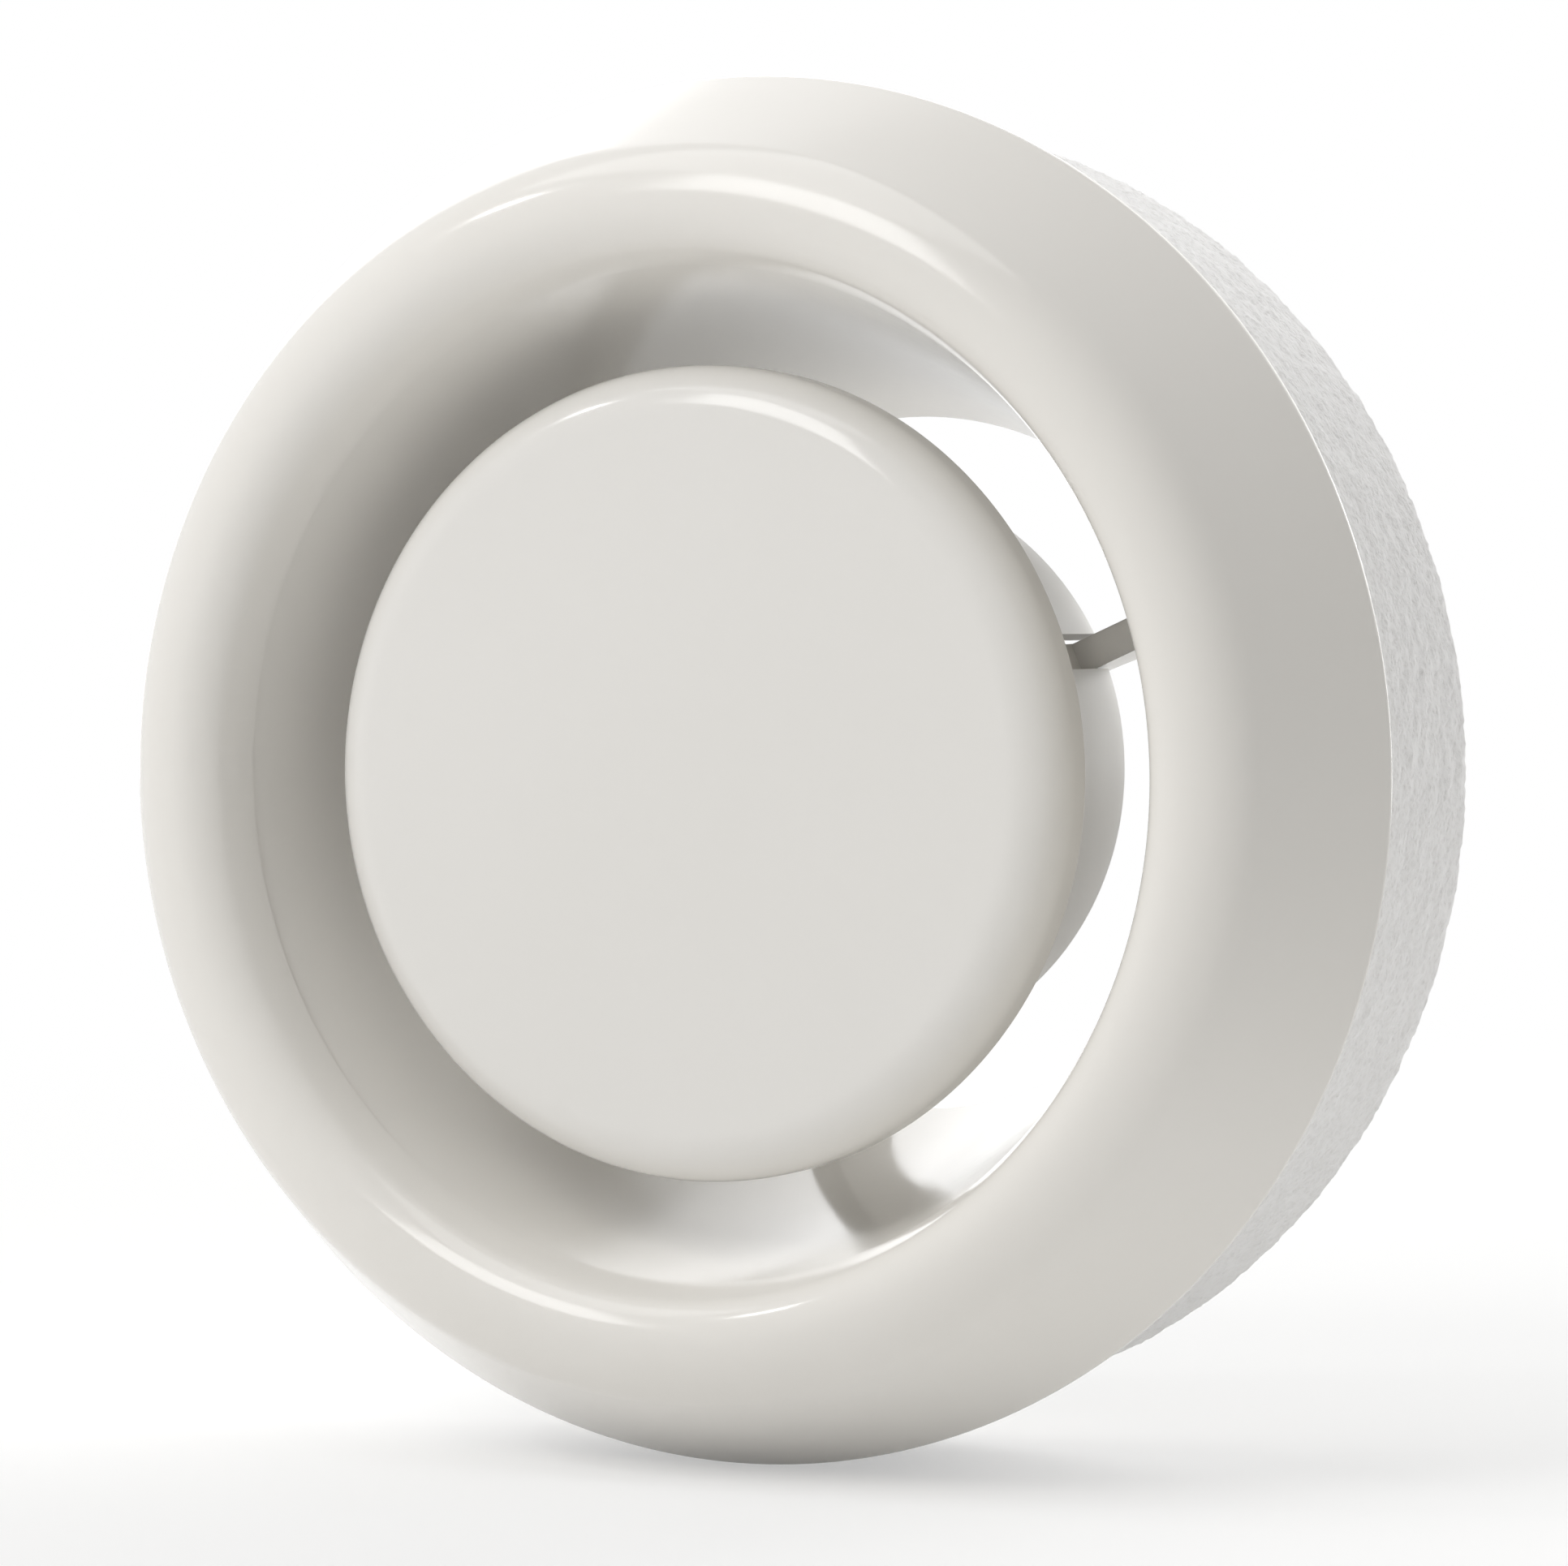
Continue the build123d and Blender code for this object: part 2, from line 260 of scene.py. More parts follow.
def buildFoamCells(f):
    # open-cell foam: pores, broken up by a finer grain, that dent the surface; their darker colour is
    # painted shade in the cells
    group, gin, gout = newGroup(
        "foamCells",
        (("Wall", "NodeSocketColor", (0.86, 0.85, 0.83, 1)),
         # the second colour is painted shade for the cell hollows
         ("PoreShade", "NodeSocketColor", (0.6, 0.59, 0.56, 1)),
         ("Cells", "NodeSocketFloat", 1400.0), ("Depth", "NodeSocketFloat", 0.6)),
        skinOutputs)
    place = group.nodes.new("ShaderNodeTexCoord").outputs["Object"]
    cells = group.nodes.new("ShaderNodeTexVoronoi")
    cells.feature = "F1"
    group.links.new(place, cells.inputs["Vector"])
    group.links.new(gin.outputs["Cells"], cells.inputs["Scale"])
    grain = noiseNode(group, place, f["grainScale"], f["grainDetail"], f["grainRough"])
    pores = mapNode(group, cells.outputs["Distance"], f["poreFrom"], f["poreTo"], 1.0, 0.0)
    speck = mapNode(group, grain, f["speckFrom"], f["speckTo"], 0.0, 1.0)
    broken = mathNode(group, "MULTIPLY", pores, speck)
    # painted shade: the colour darkens towards the shade colour wherever the pores dent the surface
    tone = blendNode(group, broken, gin.outputs["Wall"], gin.outputs["PoreShade"])
    group.links.new(tone, gout.inputs["Color"])
    group.links.new(mapNode(group, speck, 0.0, 1.0, f["glossiest"], 1.0), gout.inputs["Roughness"])
    bump = group.nodes.new("ShaderNodeBump")
    bump.invert = True
    bump.inputs["Distance"].default_value = f["dentDepth"]
    group.links.new(gin.outputs["Depth"], bump.inputs["Strength"])
    group.links.new(broken, bump.inputs["Height"])
    group.links.new(bump.outputs["Normal"], gout.inputs["Normal"])
    return group


steelForm = {
    "ringScale": 900.0, "ringWaver": 1.2, "ringStrength": 0.06, "ringHeight": 0.0002,
    "bloomScale": 320.0, "bloomDetail": 4.0, "bloomFrom": 0.35, "bloomTo": 0.65,
    "clearFrom": 0.3, "clearTo": 0.7, "glossier": -0.06, "duller": 0.1,
}


def buildTurnedSteel(f):
    # plated steel: fine rings from turning, with a dull grey bloom
    group, gin, gout = newGroup(
        "platedSteel",
        (("Tone", "NodeSocketColor", (0.6, 0.6, 0.61, 1)),
         ("Bloom", "NodeSocketColor", (0.5, 0.5, 0.52, 1)),
         ("Gloss", "NodeSocketFloat", 0.3)),
        skinOutputs)
    place = group.nodes.new("ShaderNodeTexCoord").outputs["Object"]
    rings = group.nodes.new("ShaderNodeTexWave")
    rings.wave_type = "RINGS"
    rings.rings_direction = "Y"
    rings.inputs["Scale"].default_value = f["ringScale"]
    rings.inputs["Distortion"].default_value = f["ringWaver"]
    group.links.new(place, rings.inputs["Vector"])
    bloom = noiseNode(group, place, f["bloomScale"], f["bloomDetail"])
    bloomed = mapNode(group, bloom, f["bloomFrom"], f["bloomTo"], 0.0, 1.0)
    tone = blendNode(group, bloomed, gin.outputs["Tone"], gin.outputs["Bloom"])
    group.links.new(tone, gout.inputs["Color"])
    uneven = mapNode(group, bloom, f["clearFrom"], f["clearTo"], f["glossier"], f["duller"])
    group.links.new(mathNode(group, "ADD", gin.outputs["Gloss"], uneven), gout.inputs["Roughness"])
    bump = group.nodes.new("ShaderNodeBump")
    bump.inputs["Strength"].default_value = f["ringStrength"]
    bump.inputs["Distance"].default_value = f["ringHeight"]
    group.links.new(rings.outputs["Fac"], bump.inputs["Height"])
    group.links.new(bump.outputs["Normal"], gout.inputs["Normal"])
    return group


def finishFrom(name, group, values, shaderValues):
    mat = bpy.data.materials.new(name)
    mat.use_nodes = True
    tree = mat.node_tree
    shader = tree.nodes["Principled BSDF"]
    skin = tree.nodes.new("ShaderNodeGroup")
    skin.node_tree = group
    for label, value in values.items():
        skin.inputs[label].default_value = value
    for given, taken in (("Color", "Base Color"), ("Roughness", "Roughness"), ("Normal", "Normal")):
        tree.links.new(skin.outputs[given], shader.inputs[taken])
    for label, value in shaderValues.items():
        shader.inputs[label].default_value = value
    return mat


mouldedSkin = buildMouldedSkin(mouldedForm)
foamCells = buildFoamCells(cellForm)
platedSteel = buildTurnedSteel(steelForm)

finishes = {
    "bodyWhite": finishFrom("bodyWhite", mouldedSkin, {
        "Tone": (0.852, 0.830, 0.788, 1), "Shade": (0.836, 0.813, 0.768, 1), "Gloss": 0.14, "Peel": 0.02},
        {"IOR": 1.5}),
    "discWhite": finishFrom("discWhite", mouldedSkin, {
        "Tone": (0.838, 0.822, 0.790, 1), "Shade": (0.822, 0.806, 0.772, 1), "Gloss": 0.14, "Peel": 0.02},
        {"IOR": 1.5}),
    "drumWhite": finishFrom("drumWhite", mouldedSkin, {
        "Tone": (0.910, 0.910, 0.904, 1), "Shade": (0.896, 0.896, 0.890, 1), "Gloss": 0.42, "Peel": 0.01},
        {"IOR": 1.5}),
    "spindleWhite": finishFrom("spindleWhite", mouldedSkin, {
        "Tone": (0.74, 0.735, 0.71, 1), "Shade": (0.70, 0.695, 0.67, 1), "Gloss": 0.36, "Peel": 0.06},
        {"IOR": 1.48}),
    "foamWhite": finishFrom("foamWhite", foamCells, {
        # the darker foam colour is painted shade in the cells, not a second material
        "Wall": (0.925, 0.915, 0.900, 1), "PoreShade": (0.79, 0.778, 0.755, 1), "Cells": 1500.0, "Depth": 0.3},
        {"IOR": 1.4, "Specular IOR Level": 0.2, "Sheen Weight": 0.8, "Sheen Roughness": 0.6}),
    "zincSteel": finishFrom("zincSteel", platedSteel, {
        "Tone": (0.62, 0.62, 0.63, 1), "Bloom": (0.50, 0.51, 0.53, 1), "Gloss": 0.30}, {"Metallic": 1.0}),
    "springSteel": finishFrom("springSteel", platedSteel, {
        "Tone": (0.42, 0.42, 0.43, 1), "Bloom": (0.33, 0.33, 0.35, 1), "Gloss": 0.34}, {"Metallic": 1.0}),
}
print("materials ready:", len(finishes))


# valve body: skirt, lip, funnel and neck in one turned shell, with ribs, fins and hub

bodyForm = {
    "flange": 75.0, "land": 0.8, "landSoft": 1.4, "rimSoft": 0.4, "rimInSoft": 0.2,
    "skirtAngle": 27.5, "crest": 60.0, "crestDepth": -20.5,
    "mouthRound": 5.0, "mouthAngle": 22.5, "bellRound": 30.0, "mouthStep": 0.3, "stepSoft": 0.1,
    "neckAngle": 14.2, "neckLength": 58.3, "neckSoft": 0.25, "wall": 2.2, "sink": 0.4,
    "spokes": 288, "arcSteps": 12,
    "ribs": 12, "ribWidth": 1.6, "ribOut": 2.0, "ribIn": 0.4, "ribDrop": 1.2, "foamSeat": -0.5,
    "fins": 3, "finStart": 24.0, "finWidth": 3.6, "finFront": 28.0, "finDepth": 4.6, "finFoot": 11.0,
    "finSoft": 0.3, "finSink": 0.5, "tipSink": 0.2, "rootReach": 29.6,
    "hub": 9.0, "hubFront": 14.6, "hubRear": 37.0, "hubBore": 5.08, "hubSoft": 0.6, "boreSoft": 0.5,
    "hubSpokes": 96, "hubArcSteps": 4, "finSteps": 10,
}


def finOutline(f, wallFront, neckRear, neckEnd):
    # fin from the side: a deep root inside the drum, an arm, and a foot that sweeps back along the wall
    rear = f["finFront"] + f["finDepth"]
    footIn = neckRear - f["finFoot"]
    tip = (neckRear - f["wall"] * f["tipSink"], neckEnd - f["wall"] * f["sink"])
    across, back = tip[0] - footIn, tip[1] - rear
    sweep = (across ** 2 + back ** 2) / (2 * back)
    last = math.atan2(back - sweep, across)
    rootIn, rootFront = f["hub"] - f["hubSoft"], f["hubFront"] + f["hubSoft"]
    inWall = f["wall"] * f["finSink"]
    side = [(rootIn, rear), (rootIn, rootFront), (f["rootReach"], rootFront),
            (f["rootReach"], f["finFront"]), (wallFront + inWall, f["finFront"]),
            (neckRear + inWall, tip[1])]
    for k in range(f["finSteps"] + 1):
        a = last + (-math.pi / 2 - last) * k / f["finSteps"]
        side.append((footIn + sweep * math.cos(a), rear + sweep + sweep * math.sin(a)))
    return side


def makeValveBody(f):
    wall = f["wall"]
    skirt, mouth, neck = (math.radians(f[k]) for k in ("skirtAngle", "mouthAngle", "neckAngle"))
    ta, ca, tn = math.tan(skirt), math.cos(skirt), math.tan(neck)
    top = f["crestDepth"]
    inTop = top + wall
    skirtTop = f["flange"] - (-f["land"] - top) * ta
    lipRound = (skirtTop - f["crest"]) / math.tan(math.pi / 4 - skirt / 2)
    rimIn = f["flange"] + f["land"] * ta - wall / ca
    skirtIn = rimIn + inTop * ta
    # mouth: tight round from the crest, wide bell round, then a fine edge and the conical neck
    mouthTop = f["crest"] - f["mouthRound"] * math.tan(math.pi / 4 - mouth / 2)
    mouthIn = mouthTop + wall / math.cos(mouth) - wall * math.tan(mouth)
    mouthEnd = Vector((f["crest"] - f["mouthRound"] * math.cos(mouth),
                       top + f["mouthRound"] * (1 - math.sin(mouth))))
    reach = f["bellRound"] * math.tan((mouth - neck) / 2)
    bell = mouthEnd + Vector((-math.sin(mouth), math.cos(mouth))) * reach
    bellEnd = bell + Vector((-math.sin(neck), math.cos(neck))) * reach
    half = (mouth + neck) / 2
    bellIn = bell + Vector((math.cos(half), math.sin(half))) * (wall / math.cos((mouth - neck) / 2))
    neckFront = bellEnd.x + f["mouthStep"]
    neckEnd = bellEnd.y + f["neckLength"]
    neckRear = neckFront - f["neckLength"] * tn
    neckOut = bellIn.x - (neckEnd - bellIn.y) * tn
    neckSoft = wall * f["neckSoft"]
    outline = roundedOutline([
        (rimIn, 0.0, f["rimInSoft"]), (f["flange"], 0.0, f["rimSoft"]),
        (f["flange"], -f["land"], f["landSoft"]), (skirtTop, top, lipRound),
        (mouthTop, top, f["mouthRound"]), (bell.x, bell.y, f["bellRound"]),
        (bellEnd.x, bellEnd.y, f["stepSoft"]), (neckFront, bellEnd.y, f["stepSoft"]),
        (neckRear, neckEnd, neckSoft), (neckOut, neckEnd, neckSoft),
        (bellIn.x, bellIn.y, f["bellRound"] - wall),
        (mouthIn, inTop, f["mouthRound"] - wall), (skirtIn, inTop, lipRound - wall)], f["arcSteps"])
    bm = bmesh.new()
    latheInto(bm, outline, f["spokes"])
    seat, sink, ribTop = f["foamSeat"], wall * f["sink"], inTop + f["ribDrop"]
    for i in range(f["ribs"]):
        out, side = spokeAt(f["finStart"] + 360 / f["ribs"] * (i + 0.5))
        rib = [(bellIn.x - (seat - bellIn.y) * tn - sink, seat), (rimIn + seat * ta + sink, seat),
               (skirtIn - f["ribOut"], ribTop), (f["crest"], inTop - sink), (mouthIn + f["ribIn"], ribTop),
               (bellIn.x - sink, bellIn.y)]
        plateInto(bm, rib, out, alongY, side, -f["ribWidth"] / 2, f["ribWidth"] / 2)
    fin = finOutline(f, neckRear + (neckEnd - f["finFront"]) * tn, neckRear, neckEnd)
    for i in range(f["fins"]):
        out, side = spokeAt(f["finStart"] + 360 / f["fins"] * i)
        plateInto(bm, fin, out, alongY, side, -f["finWidth"] / 2, f["finWidth"] / 2, f["finSoft"])
    hub = roundedOutline([
        (f["hubBore"], f["hubFront"], f["boreSoft"]), (f["hub"], f["hubFront"], f["hubSoft"]),
        (f["hub"], f["hubRear"], f["hubSoft"]), (f["hubBore"], f["hubRear"], f["boreSoft"])],
        f["hubArcSteps"])
    latheInto(bm, hub, f["hubSpokes"])
    piece = finishMesh("valveBody", bm)
    piece.data.materials.append(finishes["bodyWhite"])
    placeIn(piece, "housing", "body_plastic", "valve_body")
    return piece


valveBody = makeValveBody(bodyForm)
print("valve body:", len(valveBody.data.polygons), "faces")


# front disc with its ribs and boss

discForm = {
    "radius": 43.6, "front": -15.0, "edge": 5.5, "rear": -6.5, "wall": 2.0, "ribs": 6, "ribHeight": 4.0,
    "ribWidth": 1.6, "boss": 11.0, "bossRear": -5.0, "spigot": 8.0, "spigotRear": 1.0,
    "bore": 5.05, "groove": -2.4, "grooveWidth": 1.4, "grooveDepth": 0.8, "spokes": 240,
    "rimSoft": 0.6, "bossFoot": 0.8, "bossSoft": 0.4, "spigotSoft": 0.2, "grooveSoft": 0.1, "boreSoft": 0.3,
    "sink": 0.5, "arcSteps": 8,
}


def makeValveDisc(f):
    plate = f["front"] + f["wall"]
    inner = f["radius"] - f["wall"]
    grooveIn, grooveRear = f["spigot"] - f["grooveDepth"], f["groove"] + f["grooveWidth"]
    corners = [
        (0.0, f["front"], 0), (f["radius"], f["front"], f["edge"]), (f["radius"], f["rear"], f["rimSoft"]),
        (inner, f["rear"], f["rimSoft"]), (inner, plate, f["edge"] - f["wall"]),
        (f["boss"], plate, f["bossFoot"]), (f["boss"], f["bossRear"], f["bossSoft"]),
        (f["spigot"], f["bossRear"], f["spigotSoft"]), (f["spigot"], f["groove"], f["grooveSoft"]),
        (grooveIn, f["groove"], 0), (grooveIn, grooveRear, 0), (f["spigot"], grooveRear, f["grooveSoft"]),
        (f["spigot"], f["spigotRear"], f["bossSoft"]), (f["bore"], f["spigotRear"], f["boreSoft"]),
        (f["bore"], plate, 0), (0.0, plate, 0)]
    outline = roundedOutline(corners, f["arcSteps"])
    bm = bmesh.new()
    discInto(bm, outline, f["spokes"])
    for i in range(f["ribs"]):
        out, side = spokeAt(360 / f["ribs"] * i)
        ribIn, ribOut = f["boss"] - f["sink"], f["radius"] - f["edge"]
        rib = [(ribIn, plate - f["sink"]), (ribOut, plate - f["sink"]), (ribOut, plate),
               (ribIn, plate + f["ribHeight"])]
        plateInto(bm, rib, out, alongY, side, -f["ribWidth"] / 2, f["ribWidth"] / 2)
    piece = finishMesh("valveDisc", bm)
    piece.data.materials.append(finishes["discWhite"])
    placeIn(piece, "plug", "disc_plastic", "valve_disc")
    return piece


valveDisc = makeValveDisc(discForm)
print("valve disc:", len(valveDisc.data.polygons), "faces")


# guide drum with a slot for each fin

drumForm = {
    "radius": 32.0, "wall": 1.8, "web": -4.7, "webThick": 2.0, "hole": 8.3, "rear": 30.0,
    "slotWidth": 4.2, "slotEnd": 12.6, "slots": 3, "slotStart": 24.0, "spokes": 240,
    "holeSoft": 0.3, "frontSoft": 1.4, "rearSoft": 0.5, "webSoft": 0.8, "cutPast": 4.0, "cutSide": 6.0,
    "longSide": 10.0, "rings": 16, "arcSteps": 5, "slotSteps": 12,
}


def makeGuideDrum(f):
    inner, webRear = f["radius"] - f["wall"], f["web"] + f["webThick"]
    outline = roundedOutline([
        (f["hole"], f["web"], f["holeSoft"]), (f["radius"], f["web"], f["frontSoft"]),
        (f["radius"], f["rear"], f["rearSoft"]), (inner, f["rear"], f["rearSoft"]),
        (inner, webRear, f["webSoft"]), (f["hole"], webRear, f["holeSoft"])], f["arcSteps"])
    # extra rings along the wall keep the faces square
    full = []
    for k, p in enumerate(outline):
        full.append(p)
        n = outline[(k + 1) % len(outline)]
        if abs(n.y - p.y) > f["longSide"]:
            full.extend(p.lerp(n, t / f["rings"]) for t in range(1, f["rings"]))
    bm = bmesh.new()
    latheInto(bm, full, f["spokes"])
    drum = finishMesh("guideDrum", bm)
    cutMesh = bmesh.new()
    half = f["slotWidth"] / 2
    shape = [(f["rear"] + f["cutPast"], -half), (f["rear"] + f["cutPast"], half)]
    for k in range(f["slotSteps"] + 1):
        a = math.pi / 2 - math.pi * k / f["slotSteps"]
        shape.append((f["slotEnd"] + half - half * math.cos(a), half * math.sin(a)))
    for i in range(f["slots"]):
        out, side = spokeAt(f["slotStart"] + 360 / f["slots"] * i)
        plateInto(cutMesh, shape, alongY, side, out, inner - f["cutSide"], f["radius"] + f["cutSide"])
    cutter = finishMesh("slotCutter", cutMesh)
    cut = drum.modifiers.new("slots", "BOOLEAN")
    cut.operation = "DIFFERENCE"
    cut.solver = "EXACT"
    cut.object = cutter
    bpy.context.view_layer.update()
    done = bpy.data.meshes.new_from_object(drum.evaluated_get(bpy.context.evaluated_depsgraph_get()))
    drum.modifiers.clear()
    drum.data = done
    bpy.data.objects.remove(cutter)
    done.shade_smooth()
    done.set_sharp_from_angle(angle=math.radians(sharpEdge))
    done.materials.clear()
    done.materials.append(finishes["drumWhite"])
    placeIn(drum, "drum", "drum_plastic", "guide_drum")
    return drum


guideDrum = makeGuideDrum(drumForm)
print("guide drum:", len(guideDrum.data.polygons), "faces")


# spindle with its coarse two-start thread

spindleForm = {
    "radius": 5.0, "root": 4.1, "front": -13.0, "end": 45.1, "endSoft": 0.8, "lead": 6.0, "starts": 2,
    "threadFrom": 3.0, "threadFade": 2.0, "rootHalf": 0.13, "flank": 0.12, "spokes": 64, "step": 0.2,
    "sharp": 40,
}


def threadHeight(f, y, turn):
    # trapezoid ridge, 0 in the root and 1 on the crest
    phase = (f["starts"] * (y / f["lead"] - turn / (2 * math.pi))) % 1.0
    ridge = min(max((abs(phase - 0.5) - f["rootHalf"]) / f["flank"], 0.0), 1.0)
    start = min(max((y - f["threadFrom"]) / f["threadFade"], 0.0), 1.0)
    return 1.0 - start * (1.0 - ridge)


def makeSpindle(f):
    bm = bmesh.new()
    rings = []
    count = int((f["end"] - f["front"]) / f["step"])
    for k in range(count + 1):
        y = f["front"] + (f["end"] - f["front"]) * k / count
        nearEnd = min(y - f["front"], f["end"] - y)
        ring = []
        for s in range(f["spokes"]):
            a = 2 * math.pi * s / f["spokes"]
            r = f["root"] + (f["radius"] - f["root"]) * threadHeight(f, y, a)
            r = min(r, f["radius"] - f["endSoft"] + nearEnd)
            ring.append(bm.verts.new((r * math.sin(a) * mm, y * mm, r * math.cos(a) * mm)))
        rings.append(ring)
    for k in range(count):
        for s in range(f["spokes"]):
            n = (s + 1) % f["spokes"]
            bm.faces.new((rings[k][s], rings[k][n], rings[k + 1][n], rings[k + 1][s]))
    bm.faces.new(rings[0])
    bm.faces.new(rings[-1][::-1])
    piece = finishMesh("threadedSpindle", bm, f["sharp"])
    piece.data.materials.append(finishes["spindleWhite"])
    placeIn(piece, "plug", "spindle_plastic", "spindle")
    return piece


threadedSpindle = makeSpindle(spindleForm)
print("spindle:", len(threadedSpindle.data.polygons), "faces")


# foam ring: torn open cells on every free face

foamForm = {
    "radius": 72.3, "front": -0.5, "rear": 31.5, "edge": 2.5, "mouth": 53.36, "neck": 45.26,
    "lead": 0.5, "coverFront": 0.8, "coverBore": 1.0, "spokes": 720, "spacing": 0.6, "hiddenSpacing": 8.0,
    "rough": 0.45, "arcSteps": 5, "sharp": 60,
}
# size, depth and shift of each layer of dents
foamDents = ((0.9, 1.0, (0, 0, 0)), (0.45, 0.35, (7, 3, 1)), (3.2, 0.5, (2, 9, 4)))


def makeFoamRing(f, dents):
    outline = roundedOutline([
        (f["mouth"], f["front"], 0), (f["radius"] - f["lead"], f["front"], 0), (f["radius"], 0.0, 0),
        (f["radius"], f["rear"], f["edge"]), (f["neck"], f["rear"], f["edge"])], f["arcSteps"])

    def hidden(r, y):
        # the front face in the skirt and the bore round the neck
        bore = f["mouth"] + (f["neck"] - f["mouth"]) * (y - f["front"]) / (f["rear"] - f["front"])
        return y < f["coverFront"] or r < bore + f["coverBore"]

    # even spacing on the faces that show, long steps on the hidden ones
    full = []
    for k, p in enumerate(outline):
        n = outline[(k + 1) % len(outline)]
        middle = p.lerp(n, 0.5)
        spacing = f["hiddenSpacing"] if hidden(middle.x, middle.y) else f["spacing"]
        steps = max(1, int(round((n - p).length / spacing)))
        full.extend(p.lerp(n, t / steps) for t in range(steps))
    bm = bmesh.new()
    latheInto(bm, full, f["spokes"])
    bmesh.ops.recalc_face_normals(bm, faces=bm.faces)
    bm.normal_update()
    moves = []
    for v in bm.verts:
        p = v.co / mm
        if hidden(math.hypot(p.x, p.z), p.y):
            continue
        dent = 0.0
        for size, deep, shift in dents:
            dent += deep * (0.5 + 0.5 * noise.noise(p / size + Vector(shift)))
        moves.append((v, v.normal * (-f["rough"] * dent * mm)))
    for v, step in moves:
        v.co += step
    piece = finishMesh("foamRing", bm, f["sharp"])
    piece.data.materials.append(finishes["foamWhite"])
    placeIn(piece, "housing", "foam", "foam_ring")
    return piece


foamRing = makeFoamRing(foamForm, foamDents)
print("foam ring:", len(foamRing.data.polygons), "faces")


# nut and spring ring keep their own solids
for nodeName, finish in (("stop_nut", "zincSteel"), ("retaining_ring", "springSteel")):
    nodes[nodeName].data.materials.clear()
    nodes[nodeName].data.materials.append(finishes[finish])
    nodes[nodeName].data.set_sharp_from_angle(angle=math.radians(sharpEdge))
print("hardware finished")


# stage, light and camera

stageForm = {
    "floor": -0.0752, "size": 6.0, "near": 0.16, "far": 0.7, "nearWhite": 0.42,
    "paper": (0.96, 0.96, 0.957, 1),
}


def makeStage(f):
    mesh = bpy.data.meshes.new("studioFloor")
    h = f["size"]
    corners = [(x, y, f["floor"]) for x, y in ((-h, -h), (h, -h), (h, h), (-h, h))]
    mesh.from_pydata(corners, [], [(0, 1, 2, 3)])
    floor = bpy.data.objects.new("studioFloor", mesh)
    bpy.context.scene.collection.objects.link(floor)
    mat = bpy.data.materials.new("studioPaper")
    mat.use_nodes = True
    tree = mat.node_tree
    tree.nodes.clear()
    out = tree.nodes.new("ShaderNodeOutputMaterial")
    paper = tree.nodes.new("ShaderNodeBsdfDiffuse")
    paper.inputs["Color"].default_value = f["paper"]
    white = tree.nodes.new("ShaderNodeEmission")
    white.inputs["Strength"].default_value = 1.0
    mix = tree.nodes.new("ShaderNodeMixShader")
    # the floor runs out into white away from the valve, and keeps its shadow near it
    place = tree.nodes.new("ShaderNodeNewGeometry")
    away = tree.nodes.new("ShaderNodeVectorMath")
    away.operation = "LENGTH"
    tree.links.new(place.outputs["Position"], away.inputs[0])
    fade = mapNode(tree, away.outputs["Value"], f["near"], f["far"], f["nearWhite"], 1.0, smooth=True)
    tree.links.new(mathNode(tree, "MULTIPLY", fade, seenRays(tree)), mix.inputs["Fac"])
    tree.links.new(paper.outputs["BSDF"], mix.inputs[1])
    tree.links.new(white.outputs["Emission"], mix.inputs[2])
    tree.links.new(mix.outputs["Shader"], out.inputs["Surface"])
    mesh.materials.append(mat)


worldForm = {
    "front": 0.38, "rear": 0.85, "turnFrom": 0.45, "turnTo": 0.95, "rightSide": 0.2, "rightTo": 0.9,
    "air": (1.0, 0.99, 0.975, 1), "seen": 1.0,
}


def makeWorld(f):
    world = bpy.data.worlds.new("studioAir")
    bpy.context.scene.world = world
    world.use_nodes = True
    tree = world.node_tree
    tree.nodes.clear()
    out = tree.nodes.new("ShaderNodeOutputWorld")
    soft = tree.nodes.new("ShaderNodeBackground")
    soft.inputs["Color"].default_value = f["air"]
    # the white sweep behind the valve gives more light than the room in front
    place = tree.nodes.new("ShaderNodeTexCoord")
    parts = tree.nodes.new("ShaderNodeSeparateXYZ")
    tree.links.new(place.outputs["Generated"], parts.inputs["Vector"])
    sweep = mapNode(
        tree, parts.outputs["Y"], f["turnFrom"], f["turnTo"], f["front"], f["rear"], smooth=True)
    # and the room falls off to the right
    side = mapNode(tree, parts.outputs["X"], 0.0, f["rightTo"], 1.0, f["rightSide"])
    tree.links.new(mathNode(tree, "MULTIPLY", sweep, side), soft.inputs["Strength"])
    white = tree.nodes.new("ShaderNodeBackground")
    white.inputs["Color"].default_value = (1, 1, 1, 1)
    white.inputs["Strength"].default_value = f["seen"]
    mix = tree.nodes.new("ShaderNodeMixShader")
    tree.links.new(seenRays(tree), mix.inputs["Fac"])
    tree.links.new(soft.outputs["Background"], mix.inputs[1])
    tree.links.new(white.outputs["Background"], mix.inputs[2])
    tree.links.new(mix.outputs["Shader"], out.inputs["Surface"])


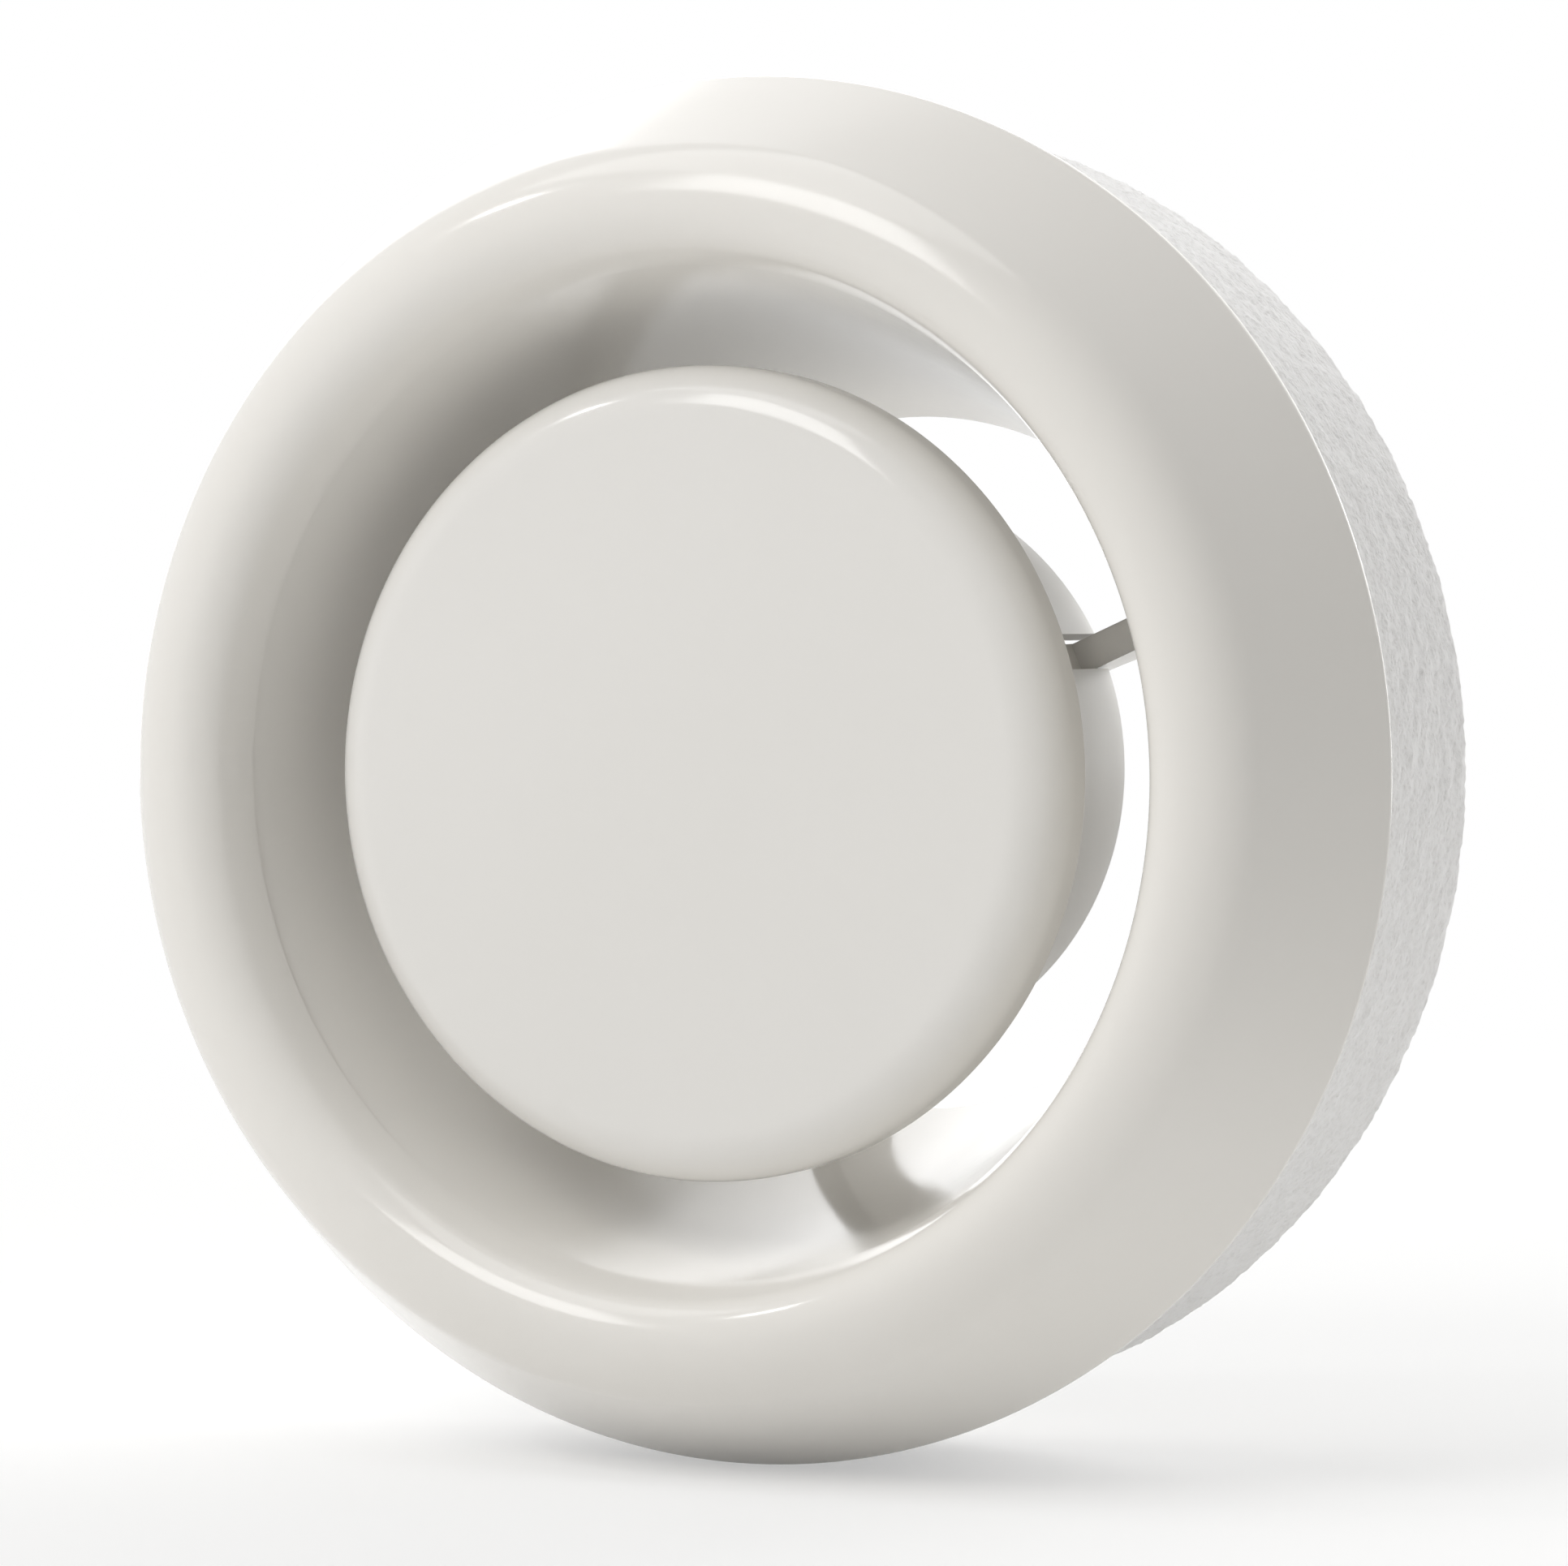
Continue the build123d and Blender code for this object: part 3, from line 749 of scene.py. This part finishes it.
lamps = {
    "softBox": {"towards": (-0.250, -0.730, 0.632), "away": 1.1, "wide": 0.42, "high": 0.46, "power": 3.3},
    "topPanel": {"towards": (-0.2, -0.2, 0.96), "away": 1.1, "wide": 0.9, "high": 0.9, "power": 3.8},
    "rearTop": {"towards": (-0.05, 0.80, 0.60), "away": 1.3, "wide": 1.7, "high": 1.2, "power": 3.0},
    "rearLeft": {"towards": (-0.50, 0.80, 0.33), "away": 1.3, "wide": 1.0, "high": 1.0, "power": 2.4},
    "rearRight": {"towards": (0.36, 0.76, 0.54), "away": 1.3, "wide": 1.0, "high": 1.0, "power": 4.0},
    "rearAxis": {"towards": (0.20, 0.97, 0.04), "away": 1.3, "wide": 0.5, "high": 0.8, "power": 4.6},
    "smallLamp": {"towards": (-0.643, -0.42, 0.64), "away": 1.2, "wide": 0.07, "high": 0.05, "power": 0.8},
}


def makeLamp(name, f):
    data = bpy.data.lights.new(name, "AREA")
    data.shape = "RECTANGLE"
    data.size = f["wide"]
    data.size_y = f["high"]
    data.energy = f["power"]
    lamp = bpy.data.objects.new(name, data)
    towards = Vector(f["towards"]).normalized()
    lamp.location = towards * f["away"]
    lamp.rotation_euler = towards.to_track_quat("Z", "Y").to_euler()
    bpy.context.scene.collection.objects.link(lamp)


# angles in degrees, places and sensor in millimetres, focus and frame in pixels of the photograph
cameraForm = {
    "turn": 27.0, "rise": 1.6, "shiftRight": -4.4, "shiftUp": 1.2, "distance": 641.0,
    "focus": 7300.0, "frameWide": 1932.0, "sensor": 36.0, "clipStart": 10.0,
}


def makeCamera(f):
    az, el = math.radians(f["turn"]), math.radians(f["rise"])
    back = Vector((math.sin(az) * math.cos(el), -math.cos(az) * math.cos(el), math.sin(el)))
    right = Vector((math.cos(az), math.sin(az), 0.0))
    up = back.cross(right)
    data = bpy.data.cameras.new("photoView")
    data.sensor_fit = "HORIZONTAL"
    data.sensor_width = f["sensor"]
    data.lens = f["sensor"] * f["focus"] / f["frameWide"]
    data.clip_start = f["clipStart"] * mm
    camera = bpy.data.objects.new("photoView", data)
    spot = (back * f["distance"] - right * f["shiftRight"] - up * f["shiftUp"]) * mm
    turn = Matrix((right, up, back)).transposed().to_4x4()
    camera.matrix_world = Matrix.Translation(spot) @ turn
    bpy.context.scene.collection.objects.link(camera)
    bpy.context.scene.camera = camera


makeStage(stageForm)
makeWorld(worldForm)
for lampName, form in lamps.items():
    makeLamp(lampName, form)
makeCamera(cameraForm)
bpy.context.scene.view_settings.view_transform = "Standard"
print("stage, lamps and camera set")
